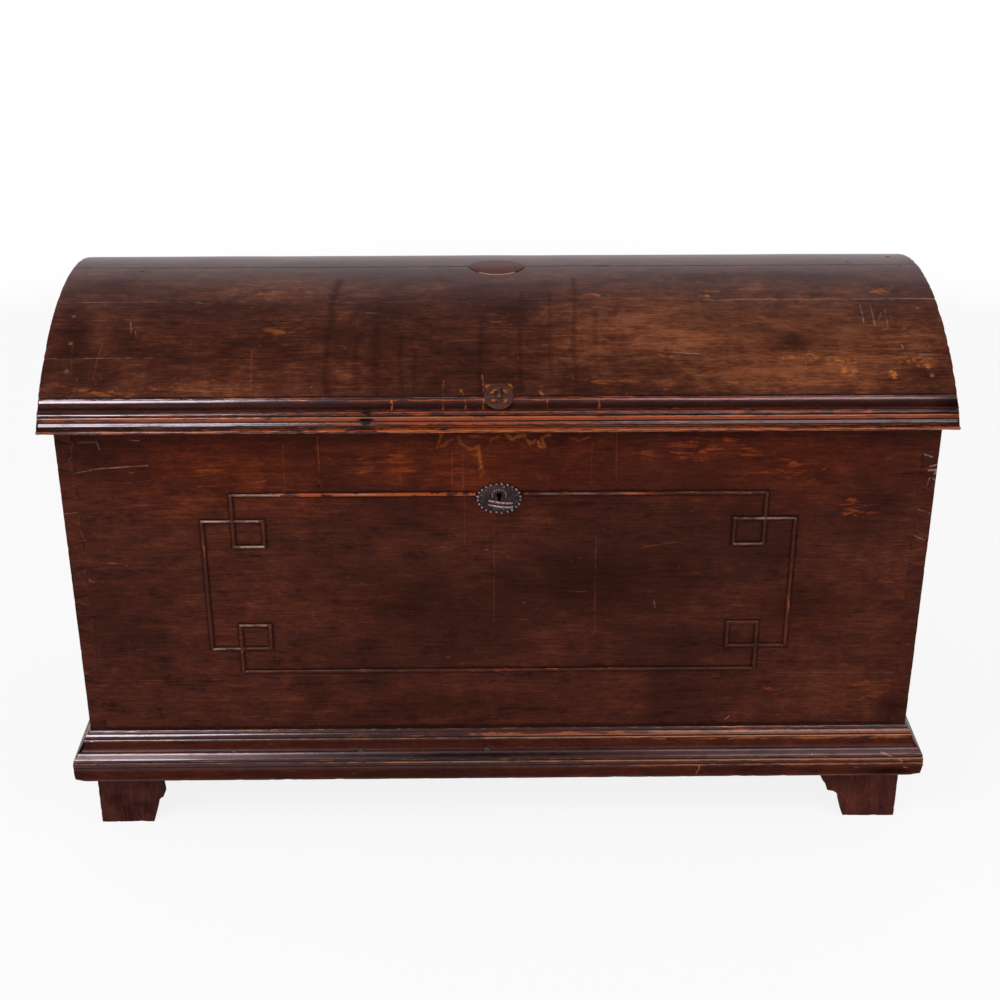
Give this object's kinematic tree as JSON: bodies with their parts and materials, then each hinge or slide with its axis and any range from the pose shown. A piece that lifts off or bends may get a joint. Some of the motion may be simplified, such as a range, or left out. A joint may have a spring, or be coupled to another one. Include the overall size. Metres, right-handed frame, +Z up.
{
  "type": "coffer chest",
  "caption": "Long dovetailed storage chest on a moulded plinth and bracket feet, with a domed coopered lid on strap hinges and a box lock behind an oval escutcheon.",
  "frame": {"origin": "on the floor, under the middle of the chest's box", "axes": "+X along the chest to the right as seen from the front, +Y from the front to the back, +Z up"},
  "size_m": [1.322, 0.608, 0.8282],
  "materials": {
    "varnished_board": "dark red-brown stained and varnished, glossy, lightly worn",
    "lid_wood": "stained and varnished, glossy, streaked and scratched",
    "worn_moulding": "varnished, rubbed through to orange-brown on the edges",
    "bare_wood": "unfinished, aged, matt",
    "black_iron": "forged, blackened, dull",
    "dark_bronze": "cast, darkened, rubbed bright on the high points"
  },
  "bodies": {
    "chest": {"front_board": "varnished_board", "back_board": "varnished_board", "side_board_left": "varnished_board", "side_board_right": "varnished_board", "bottom_board_1": "bare_wood", "bottom_board_2": "bare_wood", "bottom_board_3": "bare_wood", "plinth_front": "worn_moulding", "plinth_left": "worn_moulding", "plinth_right": "worn_moulding", "plinth_nail_1": "black_iron", "plinth_nail_2": "black_iron", "plinth_nail_3": "black_iron", "foot_front_left_face": "varnished_board", "foot_front_left_side": "varnished_board", "foot_front_left_block": "bare_wood", "foot_front_right_face": "varnished_board", "foot_front_right_side": "varnished_board", "foot_front_right_block": "bare_wood", "foot_back_left_face": "varnished_board", "foot_back_left_side": "varnished_board", "foot_back_left_block": "bare_wood", "foot_back_right_face": "varnished_board", "foot_back_right_side": "varnished_board", "foot_back_right_block": "bare_wood", "strip_top_left": "varnished_board", "strip_top_right": "varnished_board", "strip_left": "varnished_board", "strip_right": "varnished_board", "strip_bottom": "varnished_board", "knot_top_left": "varnished_board", "knot_top_right": "varnished_board", "knot_bottom_left": "varnished_board", "knot_bottom_right": "varnished_board", "escutcheon": "dark_bronze", "escutcheon_pin_left": "dark_bronze", "escutcheon_pin_right": "dark_bronze", "lock_case": "black_iron", "lock_spring": "black_iron", "hinge_leaf_left": "black_iron", "hinge_leaf_right": "black_iron", "hinge_pin_left": "black_iron", "hinge_pin_right": "black_iron"},
    "lid": {"lid_front_rail": "worn_moulding", "lid_back_rail": "lid_wood", "lid_gable_left": "lid_wood", "lid_gable_right": "lid_wood", "lid_stave_1": "lid_wood", "lid_stave_2": "lid_wood", "lid_stave_3": "lid_wood", "lid_stave_4": "lid_wood", "lid_stave_5": "lid_wood", "lid_stave_6": "lid_wood", "lid_patch": "lid_wood", "lid_rosette": "black_iron", "lock_keeper": "black_iron", "hinge_strap_left": "black_iron", "hinge_strap_right": "black_iron"},
    "bolt": {"lock_bolt": "black_iron"}
  },
  "joints": [
    {"name": "lid_hinge", "type": "hinge", "parent": "chest", "child": "lid", "pos_m": [0, 0.2873, 0.691], "axis": [-1, 0, 0], "range_deg": [0, 98]},
    {"name": "bolt_slide", "type": "slide", "parent": "chest", "child": "bolt", "axis": [-1, 0, 0], "range_m": [0, 0.014]}
  ]
}
